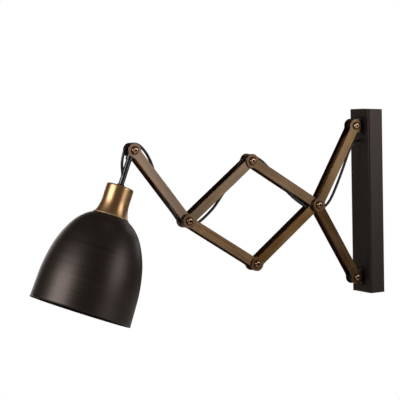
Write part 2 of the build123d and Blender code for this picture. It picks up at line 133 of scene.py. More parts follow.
# ---------------------------------------------------------------- camera
def set_camera(azimuth, elevation, roll, target, distance, lens):
    """Azimuth 0 looks along +Y. The target is given right and up in the picture's directions."""
    a, e, r = (math.radians(x) for x in (azimuth, elevation, roll))
    right = Vector((math.cos(a), math.sin(a), 0))
    back = Vector((math.sin(a) * math.cos(e), -math.cos(a) * math.cos(e), math.sin(e)))
    up = back.cross(right)
    place = (right * target[0] + up * target[1] + back * distance) * MM
    across = right * math.cos(r) + up * math.sin(r)
    upwards = up * math.cos(r) - right * math.sin(r)
    camera = bpy.data.objects.new("camera", bpy.data.cameras.new("camera"))
    camera.data.lens = lens
    camera.data.sensor_width = 36
    camera.data.clip_end = 100
    turn = Matrix((across, upwards, back)).transposed().to_4x4()
    camera.matrix_world = Matrix.Translation(place) @ turn
    scene.collection.objects.link(camera)
    scene.camera = camera


set_camera(-30.799, 4.962, -1.344, (-288.09, 6.57), 2823.0, 153.09)


# ---------------------------------------------------------------- colour and nodes
def colour(hex_code):
    """A linear colour from an sRGB hex code."""
    values = []
    for i in (1, 3, 5):
        v = int(hex_code[i : i + 2], 16) / 255
        values.append(v / 12.92 if v <= 0.04045 else ((v + 0.055) / 1.055) ** 2.4)
    return (*values, 1.0)


def add(tree, kind, inputs=None, **settings):
    """One node with its settings. An input is a value, an output, or a node's first output."""
    made = tree.nodes.new(kind)
    for name, value in settings.items():
        setattr(made, name, value)
    for name, value in (inputs or {}).items():
        if isinstance(value, bpy.types.Node):
            value = value.outputs[0]
        if isinstance(value, bpy.types.NodeSocket):
            tree.links.new(value, made.inputs[name])
        else:
            made.inputs[name].default_value = value
    return made


def new_material(name):
    made = bpy.data.materials.new(name)
    made.use_nodes = True
    made.node_tree.nodes.clear()
    return made, made.node_tree


def finish(
    name,
    base,
    tone,
    metallic=1.0,
    roughness=0.3,
    spread=0.05,
    grain=(1.0, 1.0, 1.0),
    turn=0.0,
    start=(0.0, 0.0, 0.0),
    bump=0.004,
    cloud=None,
    cloud_grain=(24.0, 24.0, 24.0),
    cloud_amount=0.8,
    painted_edge_highlight=None,
    edge_width=0.8,
    edge_roughness=0.25,
    anisotropic=0.0,
    across=None,
    spun=False,
    darker_ends_shaded_sides=None,
    inner=None,
    specular=0.5,
    lacquer=0.0,
):
    """A surface whose grain has these sizes in mm, with slow clouds and lighter edges that are a
    painted highlight.

    The grain is turned about Y through start. Brushed metal spreads its highlight across the
    brushing: across is that direction, and a spun piece takes it from its own map. A link's
    (colour, half length, half width) leaves it darker outside that part: towards its ends, and
    along its sides as painted shade that makes the flat plate read as rounded. The edge colour is a
    painted highlight on a band of the given width, with its own roughness. inner is (y, comparison,
    colour) for the side of a plate that faces its partner, made darker as painted shade for the gap
    between the plates. lacquer is the weight of a clear coat as rough as the surface under it.
    """
    made, tree = new_material(name)
    place = add(tree, "ShaderNodeTexCoord").outputs["Object"]
    moved = add(tree, "ShaderNodeVectorMath", {0: place, 1: metres(start)}, operation="SUBTRACT")
    lined_up = add(tree, "ShaderNodeMapping", {"Vector": moved, "Rotation": (0.0, turn, 0.0)})
    sizes = [1 / (MM * size) for size in grain]
    fine = add(tree, "ShaderNodeMapping", {"Vector": lined_up, "Scale": sizes})
    streaks = add(tree, "ShaderNodeTexNoise", {"Vector": fine, "Scale": 1.0, "Detail": 1.0})
    contrast = add(
        tree, "ShaderNodeMapRange", {"Value": streaks, "From Min": 0.3, "From Max": 0.7}
    ).outputs[0]
    colours = {0: contrast, 6: colour(tone), 7: colour(base)}
    tint = add(tree, "ShaderNodeMix", colours, data_type="RGBA").outputs[2]
    if cloud:
        sizes = [1 / (MM * size) for size in cloud_grain]
        slow = add(tree, "ShaderNodeMapping", {"Vector": lined_up, "Scale": sizes})
        clouds = add(tree, "ShaderNodeTexNoise", {"Vector": slow, "Scale": 1.0, "Detail": 2.0})
        limits = {"Value": clouds, "From Min": 0.42, "From Max": 0.66, "To Max": cloud_amount}
        patch = add(tree, "ShaderNodeMapRange", limits)
        colours = {0: patch, 6: tint, 7: colour(cloud)}
        tint = add(tree, "ShaderNodeMix", colours, data_type="RGBA").outputs[2]
    # Darker towards the link's ends, and along its sides as painted shade
    if darker_ends_shaded_sides:
        dark, half_length, half_width = darker_ends_shaded_sides
        link_place = add(tree, "ShaderNodeSeparateXYZ", {0: lined_up})
        along = add(tree, "ShaderNodeMath", {0: link_place.outputs["X"]}, operation="ABSOLUTE")
        aside = add(tree, "ShaderNodeMath", {0: link_place.outputs["Z"]}, operation="ABSOLUTE")
        limits = {"Value": along, "From Min": MM * (half_length - 7), "From Max": MM * half_length}
        at_ends = add(tree, "ShaderNodeMapRange", limits, interpolation_type="SMOOTHSTEP")
        limits = {"Value": aside, "From Min": MM * (half_width - 1.5), "From Max": MM * half_width}
        at_sides = add(tree, "ShaderNodeMapRange", limits, interpolation_type="SMOOTHSTEP")
        less = add(tree, "ShaderNodeMath", {0: at_sides, 1: 0.35}, operation="MULTIPLY")
        either = add(tree, "ShaderNodeMath", {0: at_ends, 1: less}, operation="MAXIMUM")
        part = add(tree, "ShaderNodeMath", {0: either, 1: 0.5}, operation="MULTIPLY")
        colours = {0: part, 6: tint, 7: colour(dark)}
        tint = add(tree, "ShaderNodeMix", colours, data_type="RGBA").outputs[2]
    limits = {"Value": contrast, "To Min": roughness - spread, "To Max": roughness + spread}
    rough = add(tree, "ShaderNodeMapRange", limits).outputs[0]
    relief = {"Height": streaks, "Distance": bump * MM, "Strength": 1.0}
    # Painted highlight: the edges are made lighter in colour
    if painted_edge_highlight:
        rounded = add(tree, "ShaderNodeBevel", {"Radius": edge_width * MM}, samples=8)
        facing = add(tree, "ShaderNodeNewGeometry").outputs["Normal"]
        turned_away = add(
            tree, "ShaderNodeVectorMath", {0: rounded, 1: facing}, operation="DOT_PRODUCT"
        ).outputs["Value"]
        limits = {"Value": turned_away, "From Min": 0.99, "From Max": 0.75, "To Max": 0.85}
        edge = add(tree, "ShaderNodeMapRange", limits)
        colours = {0: edge, 6: tint, 7: colour(painted_edge_highlight)}
        tint = add(tree, "ShaderNodeMix", colours, data_type="RGBA").outputs[2]
        values = {0: edge, 2: rough, 3: edge_roughness}
        rough = add(tree, "ShaderNodeMix", values, data_type="FLOAT").outputs[0]
        relief["Normal"] = rounded
    # Painted shade: the face of a plate towards its partner is darker, for the gap between them
    if inner:
        y_change, comparison, dark = inner
        y = add(tree, "ShaderNodeSeparateXYZ", {0: place}).outputs["Y"]
        inside = add(tree, "ShaderNodeMath", {0: y, 1: y_change * MM}, operation=comparison)
        colours = {0: inside, 6: tint, 7: colour(dark)}
        tint = add(tree, "ShaderNodeMix", colours, data_type="RGBA").outputs[2]
    values = {
        "Base Color": tint,
        "Metallic": metallic,
        "Roughness": rough,
        "Anisotropic": anisotropic,
        "Specular IOR Level": specular,
        "Coat Weight": lacquer,
        "Coat Roughness": roughness,
        "Normal": add(tree, "ShaderNodeBump", relief),
    }
    if across is not None:
        values["Tangent"] = add(
            tree,
            "ShaderNodeVectorTransform",
            {0: across},
            vector_type="VECTOR",
            convert_from="OBJECT",
            convert_to="WORLD",
        )
    if spun:
        values["Tangent"] = add(
            tree, "ShaderNodeTangent", direction_type="UV_MAP", uv_map="UVMap"
        )
        values["Anisotropic Rotation"] = 0.25
    shader = add(tree, "ShaderNodeBsdfPrincipled", values)
    add(tree, "ShaderNodeOutputMaterial", {"Surface": shader})
    return made


# ---------------------------------------------------------------- meshes from Geometry Nodes
def new_tree(name, *inputs):
    """A Geometry Nodes tree with a geometry in and out, and these inputs as (name, kind)."""
    tree = bpy.data.node_groups.new(name, "GeometryNodeTree")
    for label, kind in (("Geometry", "Geometry"), *inputs):
        tree.interface.new_socket(label, in_out="INPUT", socket_type="NodeSocket" + kind)
    tree.interface.new_socket("Geometry", in_out="OUTPUT", socket_type="NodeSocketGeometry")
    return tree, add(tree, "NodeGroupInput").outputs


def sheath_tree():
    """A round sheath along a spline, closed at its ends."""
    tree, given = new_tree(
        "cord sheath", ("Radius", "Float"), ("Sides", "Int"), ("Material", "Material")
    )
    sizes = {"Resolution": given["Sides"], "Radius": given["Radius"]}
    circle = add(tree, "GeometryNodeCurvePrimitiveCircle", sizes)
    tube = add(
        tree,
        "GeometryNodeCurveToMesh",
        {"Curve": given["Geometry"], "Profile Curve": circle.outputs["Curve"], "Fill Caps": True},
    )
    smooth = add(tree, "GeometryNodeSetShadeSmooth", {"Geometry": tube.outputs[0]})
    real = add(tree, "GeometryNodeRealizeInstances", {"Geometry": smooth.outputs[0]})
    sheath = {"Geometry": real.outputs[0], "Material": given["Material"]}
    painted = add(tree, "GeometryNodeSetMaterial", sheath)
    add(tree, "NodeGroupOutput", {"Geometry": painted.outputs[0]})
    return tree


# A profile point's kind, and what is added to it where the second material starts
ROUND, HEXAGON, THREAD = 0.0, 1.0, 2.0
SECOND_MATERIAL = 10.0


def lathe_tree():
    """Turns a profile about Z. A profile point is (radius, kind, height), metres but for the kind.

    A hexagon's radius is half its width across flats, and a thread's is its pitch radius. A face
    whose points all carry the second material's mark takes that material.
    """
    tree, given = new_tree(
        "turned piece",
        ("Rows", "Int"),
        ("Segments", "Int"),
        ("Pitch", "Float"),
        ("Thread Depth", "Float"),
        ("Crease Angle", "Float"),
        ("Material", "Material"),
        ("Second Material", "Material"),
    )
    columns = add(tree, "ShaderNodeMath", {0: given["Segments"], 1: 1.0}, operation="ADD")
    grid = add(tree, "GeometryNodeMeshGrid", {"Vertices X": columns, "Vertices Y": given["Rows"]})
    mapped = add(
        tree,
        "GeometryNodeStoreNamedAttribute",
        {"Geometry": grid, "Name": "UVMap", "Value": grid.outputs["UV Map"]},
        data_type="FLOAT2",
        domain="CORNER",
    )
    # The grid counts up each column in turn, and each of its rows is one point of the profile
    index = add(tree, "GeometryNodeInputIndex")
    share = add(tree, "ShaderNodeMath", {0: index, 1: given["Rows"]}, operation="DIVIDE")
    column = add(tree, "ShaderNodeMath", {0: share}, operation="FLOOR")
    passed = add(tree, "ShaderNodeMath", {0: column, 1: given["Rows"]}, operation="MULTIPLY")
    row = add(tree, "ShaderNodeMath", {0: index, 1: passed}, operation="SUBTRACT")
    part = add(tree, "ShaderNodeMath", {0: column, 1: given["Segments"]}, operation="DIVIDE")
    angle = add(tree, "ShaderNodeMath", {0: part, 1: 2 * math.pi}, operation="MULTIPLY")
    point = add(tree, "GeometryNodeInputPosition")
    sample = add(
        tree,
        "GeometryNodeSampleIndex",
        {"Geometry": given["Geometry"], "Value": point, "Index": row},
        data_type="FLOAT_VECTOR",
        domain="POINT",
    )
    radius, kind, height = add(tree, "ShaderNodeSeparateXYZ", {0: sample}).outputs
    limit = SECOND_MATERIAL - 0.5
    second = add(tree, "ShaderNodeMath", {0: kind, 1: limit}, operation="GREATER_THAN")
    mark = add(tree, "ShaderNodeMath", {0: second, 1: SECOND_MATERIAL}, operation="MULTIPLY")
    shape = add(tree, "ShaderNodeMath", {0: kind, 1: mark}, operation="SUBTRACT")
    hexagon = add(tree, "ShaderNodeMath", {0: shape, 1: HEXAGON, 2: 0.1}, operation="COMPARE")
    thread = add(tree, "ShaderNodeMath", {0: shape, 1: THREAD, 2: 0.1}, operation="COMPARE")
    # A hexagon reaches further out than its flats by one over the cosine of the angle from a flat
    side = add(tree, "ShaderNodeMath", {0: angle, 1: math.pi / 3}, operation="MODULO")
    off_flat = add(tree, "ShaderNodeMath", {0: side, 1: math.pi / 6}, operation="SUBTRACT")
    cosine = add(tree, "ShaderNodeMath", {0: off_flat}, operation="COSINE")
    reach = add(tree, "ShaderNodeMath", {0: 1.0, 1: cosine}, operation="DIVIDE")
    extra = add(tree, "ShaderNodeMath", {0: reach, 1: 1.0}, operation="SUBTRACT")
    given_extra = add(tree, "ShaderNodeMath", {0: hexagon, 1: extra}, operation="MULTIPLY")
    factor = add(tree, "ShaderNodeMath", {0: given_extra, 1: 1.0}, operation="ADD")
    # A thread is a wave that climbs one pitch in a turn
    climbed = add(tree, "ShaderNodeMath", {0: height, 1: given["Pitch"]}, operation="DIVIDE")
    turns = add(tree, "ShaderNodeMath", {0: climbed, 1: 2 * math.pi}, operation="MULTIPLY")
    phase = add(tree, "ShaderNodeMath", {0: turns, 1: angle}, operation="ADD")
    wave = add(tree, "ShaderNodeMath", {0: phase}, operation="COSINE")
    half = add(tree, "ShaderNodeMath", {0: given["Thread Depth"], 1: 0.5}, operation="MULTIPLY")
    ripple = add(tree, "ShaderNodeMath", {0: wave, 1: half}, operation="MULTIPLY")
    crest = add(tree, "ShaderNodeMath", {0: ripple, 1: thread}, operation="MULTIPLY")
    flat = add(tree, "ShaderNodeMath", {0: radius, 1: factor}, operation="MULTIPLY")
    full = add(tree, "ShaderNodeMath", {0: flat, 1: crest}, operation="ADD")
    along_x = add(tree, "ShaderNodeMath", {0: angle}, operation="COSINE")
    along_y = add(tree, "ShaderNodeMath", {0: angle}, operation="SINE")
    x = add(tree, "ShaderNodeMath", {0: full, 1: along_x}, operation="MULTIPLY")
    y = add(tree, "ShaderNodeMath", {0: full, 1: along_y}, operation="MULTIPLY")
    place = add(tree, "ShaderNodeCombineXYZ", {0: x, 1: y, 2: height})
    marked = add(
        tree,
        "GeometryNodeStoreNamedAttribute",
        {"Geometry": mapped, "Name": "second", "Value": second},
        data_type="FLOAT",
        domain="POINT",
    )
    bent = add(tree, "GeometryNodeSetPosition", {"Geometry": marked, "Position": place})
    joined = add(tree, "GeometryNodeMergeByDistance", {"Geometry": bent, "Distance": 0.002 * MM})
    smooth = add(tree, "GeometryNodeSetShadeSmooth", {"Geometry": joined}, domain="FACE")
    bend = add(tree, "GeometryNodeInputMeshEdgeAngle")
    soft = add(
        tree, "ShaderNodeMath", {0: bend, 1: given["Crease Angle"]}, operation="LESS_THAN"
    )
    creased = add(
        tree,
        "GeometryNodeSetShadeSmooth",
        {"Geometry": smooth, "Shade Smooth": soft},
        domain="EDGE",
    )
    real = add(tree, "GeometryNodeRealizeInstances", {"Geometry": creased})
    painted = add(
        tree, "GeometryNodeSetMaterial", {"Geometry": real, "Material": given["Material"]}
    )
    stored = add(tree, "GeometryNodeInputNamedAttribute", {"Name": "second"}, data_type="FLOAT")
    chosen = add(tree, "ShaderNodeMath", {0: stored, 1: 0.99}, operation="GREATER_THAN")
    ends = {"Geometry": painted, "Selection": chosen, "Material": given["Second Material"]}
    finished = add(tree, "GeometryNodeSetMaterial", ends)
    add(tree, "NodeGroupOutput", {"Geometry": finished})
    return tree


def run_tree(source, tree, inputs):
    """Runs a Geometry Nodes tree on an object's data and gives its result as a plain mesh."""
    modifier = source.modifiers.new("shape", "NODES")
    modifier.node_group = tree
    for item in tree.interface.items_tree:
        if item.in_out == "INPUT" and item.name in inputs:
            modifier[item.identifier] = inputs[item.name]
    bpy.context.view_layer.update()
    graph = bpy.context.evaluated_depsgraph_get()
    mesh = bpy.data.meshes.new_from_object(source.evaluated_get(graph), depsgraph=graph)
    bpy.data.objects.remove(source)
    return mesh


def point_outwards(mesh):
    """Merges doubles, and turns the faces over if the closed shape is inside out."""
    work = bmesh.new()
    work.from_mesh(mesh)
    bmesh.ops.remove_doubles(work, verts=work.verts, dist=0.002 * MM)
    if work.calc_volume(signed=True) < 0:
        bmesh.ops.reverse_faces(work, faces=work.faces)
    work.to_mesh(mesh)
    work.free()


def show(name, mesh):
    mesh.name = name
    made = bpy.data.objects.new(name, mesh)
    scene.collection.objects.link(made)
    return made


LATHE = lathe_tree()


def turned(profile, material, second=None, segments=96, pitch=1.0, depth=0.0, crease=35.0):
    """A turned mesh from (radius, height) or (radius, height, kind) points in millimetres."""
    points = [(p[0] * MM, p[2] if len(p) > 2 else ROUND, p[1] * MM) for p in profile]
    data = bpy.data.meshes.new("profile")
    data.from_pydata(points, [], [])
    source = show("profile", data)
    inputs = {
        "Rows": len(points),
        "Segments": segments,
        "Pitch": pitch * MM,
        "Thread Depth": depth * MM,
        "Crease Angle": math.radians(crease),
        "Material": material,
        "Second Material": second or material,
    }
    mesh = run_tree(source, LATHE, inputs)
    point_outwards(mesh)
    return mesh


def arc(centre, radius, start, end, steps):
    """Points of an arc in the profile's plane; angles in degrees from the radius direction."""
    made = []
    for i in range(steps + 1):
        angle = math.radians(start + (end - start) * i / steps)
        made.append((centre[0] + radius * math.cos(angle), centre[1] + radius * math.sin(angle)))
    return made


def down_the_stem(mesh):
    """Puts a mesh turned about the stem's own axis in its place in the lamp head."""
    c, s = math.cos(LAMP_TILT), math.sin(LAMP_TILT)
    turn = Matrix(((c, 0, -s), (0, 1, 0), (s, 0, c))).transposed().to_4x4()
    mesh.transform(Matrix.Translation(metres(on_stem(0))) @ turn)
    return mesh


# ---------------------------------------------------------------- cords
# The cord's route, as the control points of its splines, in millimetres. Past the centre pivot
# three points are a few millimetres higher than the tube's, where the cord hugs the link.
CORD_IN_BAR = [
    (-10.0, 0.0, 58.0),
    (-10.0, 0.0, 74.0),
    (-11.5, 0.0, 90.0),
    (-19.5, 0.0, 100.0),
    (-34.5, 0.0, 100.0),
    (-45.0, 0.2, 91.5),
    (-52.0, 0.8, 76.0),
    (-61.5, 1.5, 53.0),
]
CORD_PAST_CENTRE = [
    (-83.0, 2.2, 9.0),
    (-97.0, 2.2, -5.5),
    (-115.0, 2.2, -10.5),
    (-132.0, 2.2, -4.0),
    (-148.0, 2.3, 5.5),
    (-162.0, 2.5, 16.5),
    (-174.5, 2.8, 28.0),
]
CORD_OVER_TOP = [
    (-197.0, 3.6, 55.0),
    (-207.5, 4.1, 68.0),
    (-219.0, 4.4, 78.0),
    (-233.0, 4.4, 85.0),
    (-246.5, 4.4, 83.5),
    (-257.0, 4.5, 73.5),
    (-266.5, 4.7, 60.0),
    (-276.5, 5.1, 45.5),
]
CORD_UNDER_FRONT = [
    (-296.5, 6.0, 19.5),
    (-306.5, 6.5, 7.5),
    (-319.0, 7.0, -3.5),
    (-331.5, 7.4, -12.5),
    (-344.5, 7.7, -18.5),
    (-357.5, 7.8, -19.5),
    (-367.5, 7.8, -13.5),
    (-376.5, 7.9, -1.5),
    (-386.0, 8.2, 13.0),
    (-395.0, 8.7, 28.5),
]
CORD_OVER_LAMP = [
    (-409.0, 9.7, 65.0),
    (-415.0, 9.9, 83.5),
    (-423.0, 9.9, 98.5),
    (-433.0, 9.9, 110.0),
    (-442.0, 9.9, 114.2),
    (-452.0, 9.9, 113.6),
    (-460.2, 9.9, 107.3),
    (-464.0, 9.9, 97.0),
    (-466.3, 9.9, 86.0),
    (-466.0, 9.9, 75.5),
    (-465.4, 9.9, 65.0),
]
CORD_IN_STEM = [on_stem(56.0), on_stem(68.0)]
ROUTES = [
    ("cord_base", CORD_IN_BAR, ("base",)),
    ("cord_at_centre_pivot", CORD_PAST_CENTRE, ("base", "inner_upper_link")),
    ("cord_at_top_pivot", CORD_OVER_TOP, ("inner_upper_link", "outer_upper_link")),
    ("cord_at_front_pivot", CORD_UNDER_FRONT, ("outer_upper_link", "end_link")),
    ("cord_at_lamp_pivot", CORD_OVER_LAMP, ("end_link", "lamp_head")),
    ("cord_in_stem", CORD_IN_STEM, ("lamp_head",)),
]


def halfway(a, b):
    return tuple((i + j) / 2 for i, j in zip(a, b))


def route_curve(name, points):
    """A NURBS spline with the route's points as its control points."""
    data = bpy.data.curves.new(name, "CURVE")
    data.dimensions = "3D"
    data.resolution_u = 12
    spline = data.splines.new("NURBS")
    spline.points.add(len(points) - 1)
    for point, p in zip(points, spline.points):
        p.co = (*metres(point), 1.0)
    spline.order_u = 3
    spline.use_endpoint_u = True
    made = bpy.data.objects.new(name, data)
    scene.collection.objects.link(made)
    return made


def make_cords(material):
    """The cord's six pieces; one on a single body is attached to it, and one that passes a joint is
    left where it is.
    """
    tree = sheath_tree()
    pieces = {}
    for i, (node_name, points, bodies) in enumerate(ROUTES):
        route = list(points)
        if i > 0:
            route.insert(0, halfway(ROUTES[i - 1][1][-1], route[0]))
        if i < len(ROUTES) - 1:
            route.append(halfway(points[-1], ROUTES[i + 1][1][0]))
        curve = route_curve(node_name + "_line", route)
        line = [tuple(v.co) for v in bpy.data.meshes.new_from_object(curve).vertices]
        inputs = {"Radius": CORD_RADIUS * MM, "Sides": CORD_SIDES, "Material": material}
        mesh = run_tree(curve, tree, inputs)
        point_outwards(mesh)
        piece = show(node_name + "_flex", mesh)
        if len(bodies) == 2:
            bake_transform(piece)
        else:
            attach(piece, bodies[0])
        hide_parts(node_name)
        pieces[node_name] = (piece, line)
    for node_name, (piece, line) in pieces.items():
        if node_name == "cord_in_stem":
            continue


# Black PVC flex: an extruded sheath, which leaves it even, with a soft sheen and hardly any grain.
black_flex = finish(
    "black_pvc_flex",
    "#222121",
    "#191818",
    metallic=0.0,
    roughness=0.3,
    grain=(4.0, 4.0, 4.0),
    bump=0.02,
)
make_cords(black_flex)

# ---------------------------------------------------------------- finishes
# Bronze-black powder coat on steel sheet: satin, warm in its highlights, with a fine even tooth.
# Its lighter edges are a painted highlight.
wall_bar = finish(
    "bronze_black_powder_coat",
    "#403834",
    "#37302c",
    metallic=0.75,
    roughness=0.4,
    spread=0.04,
    grain=(1.2, 1.2, 1.2),
    bump=0.02,
    painted_edge_highlight="#6b5f59",
    edge_width=2.2,
    edge_roughness=0.38,
)
# Blackened steel: the small lugs are dipped, not coated, and stay dull against the bar.
black_oxide = finish("black_oxide_steel", "#2b2522", "#231e1b", metallic=0.8, roughness=0.5)
# Zinc plate: bright grey, faintly clouded.
zinc = finish("zinc_plated_steel", "#b9bcc0", "#9da2a8", roughness=0.34, cloud="#a9a48f")
# Turned and polished copper bronze: a mirror dome that shows the lights as small spots.
polished_bronze = finish(
    "polished_copper_bronze",
    "#b5977d",
    "#a58368",
    roughness=0.2,
    spread=0.03,
    grain=(3.0, 3.0, 3.0),
    bump=0.001,
)
# The same bronze left to oxidise in the groove round the dome: dark brown.
oxidised_bronze = finish(
    "oxidised_bronze", "#4a3423", "#33241a", roughness=0.4, grain=(2.0, 2.0, 2.0)
)
# Black nickel on a drawn tube: glossy gunmetal, which runs the lights down it as stripes.
black_nickel = finish(
    "black_nickel_plate",
    "#5a5b5f",
    "#505155",
    roughness=0.24,
    spread=0.03,
    grain=(0.8, 0.8, 30.0),
    turn=-LAMP_TILT,
    bump=0.002,
)
# Spun brass, lacquered: the lathe's rings spread the light down the cap in two soft bands, and the
# lacquer makes them paler than the metal.
spun_brass = finish(
    "spun_satin_brass",
    "#cfa574",
    "#ca9f6e",
    roughness=0.36,
    spread=0.015,
    grain=(60.0, 60.0, 1.6),
    turn=-LAMP_TILT,
    bump=0.0006,
    anisotropic=0.5,
    spun=True,
    lacquer=1.0,
)
# The lip of the cap is a lighter brass, a painted highlight that keeps a soft even gleam all round.
painted_highlight_brass = finish(
    "painted_highlight_brass", "#e6c9a4", "#dcbd96", metallic=0.9, roughness=0.55, grain=(3.0, 3.0, 3.0)
)
# Spun steel in a satin bronze-black lacquer: nearly black, with broad warm highlights and faint
# rings.
spun_shade = finish(
    "bronze_black_lacquer",
    "#4b4441",
    "#453d3a",
    metallic=0.87,
    roughness=0.42,
    spread=0.015,
    grain=(140.0, 140.0, 1.8),
    turn=-LAMP_TILT,
    bump=0.004,
    anisotropic=0.1,
    spun=True,
)
# Inside, the bell is dead black and matt: a darker paint than outside, made darker still as painted
# shade, so the bell looks deep.
shade_inside = finish(
    "matt_black_inside_painted_shade",
    "#221d1a",
    "#1a1614",
    metallic=0.0,
    roughness=0.7,
    grain=(1.5, 1.5, 1.5),
    bump=0.02,
    specular=0.2,
)
# Moulded phenolic: deep black with a hard gloss.
bakelite = finish("black_bakelite", "#151211", "#0e0c0b", metallic=0.0, roughness=0.25)
rolled_brass = finish("rolled_brass", "#c9a45a", "#a9843e", roughness=0.25)
black_nylon = finish("black_nylon", "#1b1a19", "#131212", metallic=0.0, roughness=0.5, bump=0.01)
white_nylon = finish("white_nylon", "#dedbd2", "#cfcbc0", metallic=0.0, roughness=0.45, bump=0.01)
# The stem's little collar is brass gone dull and dark.
dull_brass = finish("dull_brass", "#4c412c", "#3a3222", roughness=0.36)


def paint(material, *names):
    for name in names:
        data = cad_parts[name].data
        data.materials.clear()
        data.materials.append(material)


# Brushed bronze. No two links have the same tone: the tones are painted light and shade, each link
# lighter or darker as the light falls on it. Each is darker towards its ends, and along its edges
# as painted shade.
LINK_PAINTED_LIGHT_TONES = {
    "upper_base": ("#725a3d", "#59452e"),
    "lower_base": ("#664a2d", "#503922"),
    "inner_upper": ("#735d46", "#5b4836"),
    "inner_lower": ("#684b29", "#523a1f"),
    "outer_upper": ("#7a6652", "#605040"),
    "outer_lower": ("#806348", "#654d37"),
    "end": ("#8c7666", "#6e5d50"),
}
for link, (rise, layer) in LINKS.items():
    y = front_face(layer)
    r = math.radians(rise)
    base, tone = LINK_PAINTED_LIGHT_TONES[link]
    x, z = PIVOTS[LINK_STARTS[link]]
    middle = (x - LINK_LENGTH / 2 * math.cos(r), 0.0, z + LINK_LENGTH / 2 * math.sin(r))
    for side, shift, depth, comparison in (
        ("front", 0.0, PLATE - 0.3, "GREATER_THAN"),
        ("back", PAIR_SPACING, 0.3, "LESS_THAN"),
    ):
        material = finish(
            f"brushed_bronze_{link}_{side}",
            base,
            tone,
            roughness=0.36,
            spread=0.04,
            grain=(85.0, 2.7, 2.7),
            turn=-r,
            start=middle,
            bump=0.002,
            cloud="#a08468",
            cloud_grain=(70.0, 40.0, 40.0),
            cloud_amount=0.25,
            # Painted highlight: the edges are lighter
            painted_edge_highlight="#d9b794",
            edge_width=0.8,
            anisotropic=0.6,
            across=(math.sin(r), 0.0, math.cos(r)),
            # Darker towards the ends, and along the sides as painted shade
            darker_ends_shaded_sides=("#5c4332", LINK_LENGTH / 2 - 2, 8.2),
            # Painted shade: the face towards the partner plate is darker, for the gap between them
            inner=(y + shift + depth, comparison, "#553c2b"),
        )
        paint(material, f"{link}_link_{side}")

pivot_names = ("centre", "top", "bottom", "front", "lamp")
paint(wall_bar, "wall_bar_housing")
paint(zinc, "mounting_plate", "housing_screw", "lug_screws")
paint(black_oxide, "upper_lug", "lower_lug")
paint(oxidised_bronze, "wall_pivot_nuts", *(f"{p}_pivot_nut" for p in pivot_names))
paint(oxidised_bronze, "wall_pivot_washers", *(f"{p}_pivot_washers" for p in pivot_names))
paint(oxidised_bronze, *(f"{p}_pivot_sleeve" for p in pivot_names[:4]))
paint(black_nickel, "stem_tube", "stem_locknut", "lamp_knuckle")
paint(shade_inside, "shade_ring")
paint(bakelite, "lampholder_body")
paint(rolled_brass, "lampholder_contact")
paint(black_nylon, "cord_bush")
paint(white_nylon, "terminal_block")


# ---------------------------------------------------------------- lamp head
def bell_skin(inset):
    """Points down the bell, this far inside its skin, as (radius, distance down the stem)."""
    radius, depth, slope = CAP_RADIUS + CAP_FLARE, 0.0, SHADE_FIRST_SLOPE
    points = []
    steps = 14
    for size, last_slope in SHADE_ARCS:
        for i in range(steps + 1):
            here = math.radians(slope + (last_slope - slope) * i / steps)
            r = radius + size * (math.sin(here) - math.sin(math.radians(slope)))
            s = depth + size * (math.cos(math.radians(slope)) - math.cos(here))
            if i or not points:
                points.append((r - inset * math.sin(here), SHADE_TOP + s + inset * math.cos(here)))
        radius, depth, slope = r, s, last_slope
    rise = math.tan(math.radians(slope))
    for i in range(1, 6):
        s = depth + (SHADE_HEIGHT - depth) * i / 5
        points.append((radius + (s - depth) / rise - inset, SHADE_TOP + s))
    return points


def down(points):
    """Turns distances down the stem into heights."""
    return [(p[0], -p[1], *p[2:]) for p in points]


def make_shade():
    outer = bell_skin(0.0)
    inner = bell_skin(SHADE_WALL)
    rim = outer[-1]
    bead = arc((rim[0] - SHADE_BEAD + 0.3, rim[1] - 0.2), SHADE_BEAD, -50, 200, 14)
    marked = ROUND + SECOND_MATERIAL
    profile = [(SHADE_HOLE, SHADE_TOP), (SHADE_SHOULDER, SHADE_TOP)] + outer[:-1] + bead[:7]
    profile += [(*p, marked) for p in bead[7:] + inner[::-1][1:]]
    profile += [(SHADE_HOLE, SHADE_TOP + SHADE_WALL, marked), (SHADE_HOLE, SHADE_TOP)]
    mesh = turned(down(profile), spun_shade, shade_inside, segments=160)
    piece = show("spun_shade", down_the_stem(mesh))
    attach(piece, "lamp_head")
    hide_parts("shade")


def make_cap():
    """The cap, with a small lip at its rim, made lighter as a painted highlight."""
    bore = STEM_RADIUS + 0.1
    flare_start = CAP_TOP + CAP_STRAIGHT
    drop = SHADE_TOP - flare_start
    sweep = (CAP_FLARE**2 + drop**2) / (2 * CAP_FLARE)
    end = math.degrees(math.asin(drop / sweep))
    corner = (CAP_RADIUS - CAP_EDGE, CAP_TOP + CAP_EDGE)
    outer = [(bore, CAP_TOP), (corner[0] - 2, CAP_TOP)]
    outer += arc(corner, CAP_EDGE, -90, 0, 8)
    outer += [(CAP_RADIUS, CAP_TOP + CAP_STRAIGHT * k / 4) for k in (1, 2, 3)]
    outer += arc((CAP_RADIUS + sweep, flare_start), sweep, 180, 180 - end, 18)[:-1]
    rim = CAP_RADIUS + CAP_FLARE
    marked = ROUND + SECOND_MATERIAL
    lip = [(p[0], p[1], marked) for p in arc((rim - 0.2, SHADE_TOP - 0.8), 0.8, -100, 90, 8)]
    lip.append((rim - CAP_WALL, SHADE_TOP, marked))
    inner = [(p[0] - CAP_WALL, p[1]) for p in outer[::-1] if p[1] > CAP_TOP + CAP_EDGE]
    inner += [(corner[0], CAP_TOP + CAP_WALL), (bore, CAP_TOP + CAP_WALL), (bore, CAP_TOP)]
    mesh = turned(down(outer + lip + inner), spun_brass, painted_highlight_brass, segments=144)
    piece = show("spun_cap", down_the_stem(mesh))
    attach(piece, "lamp_head")
    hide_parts("lamp_cap")


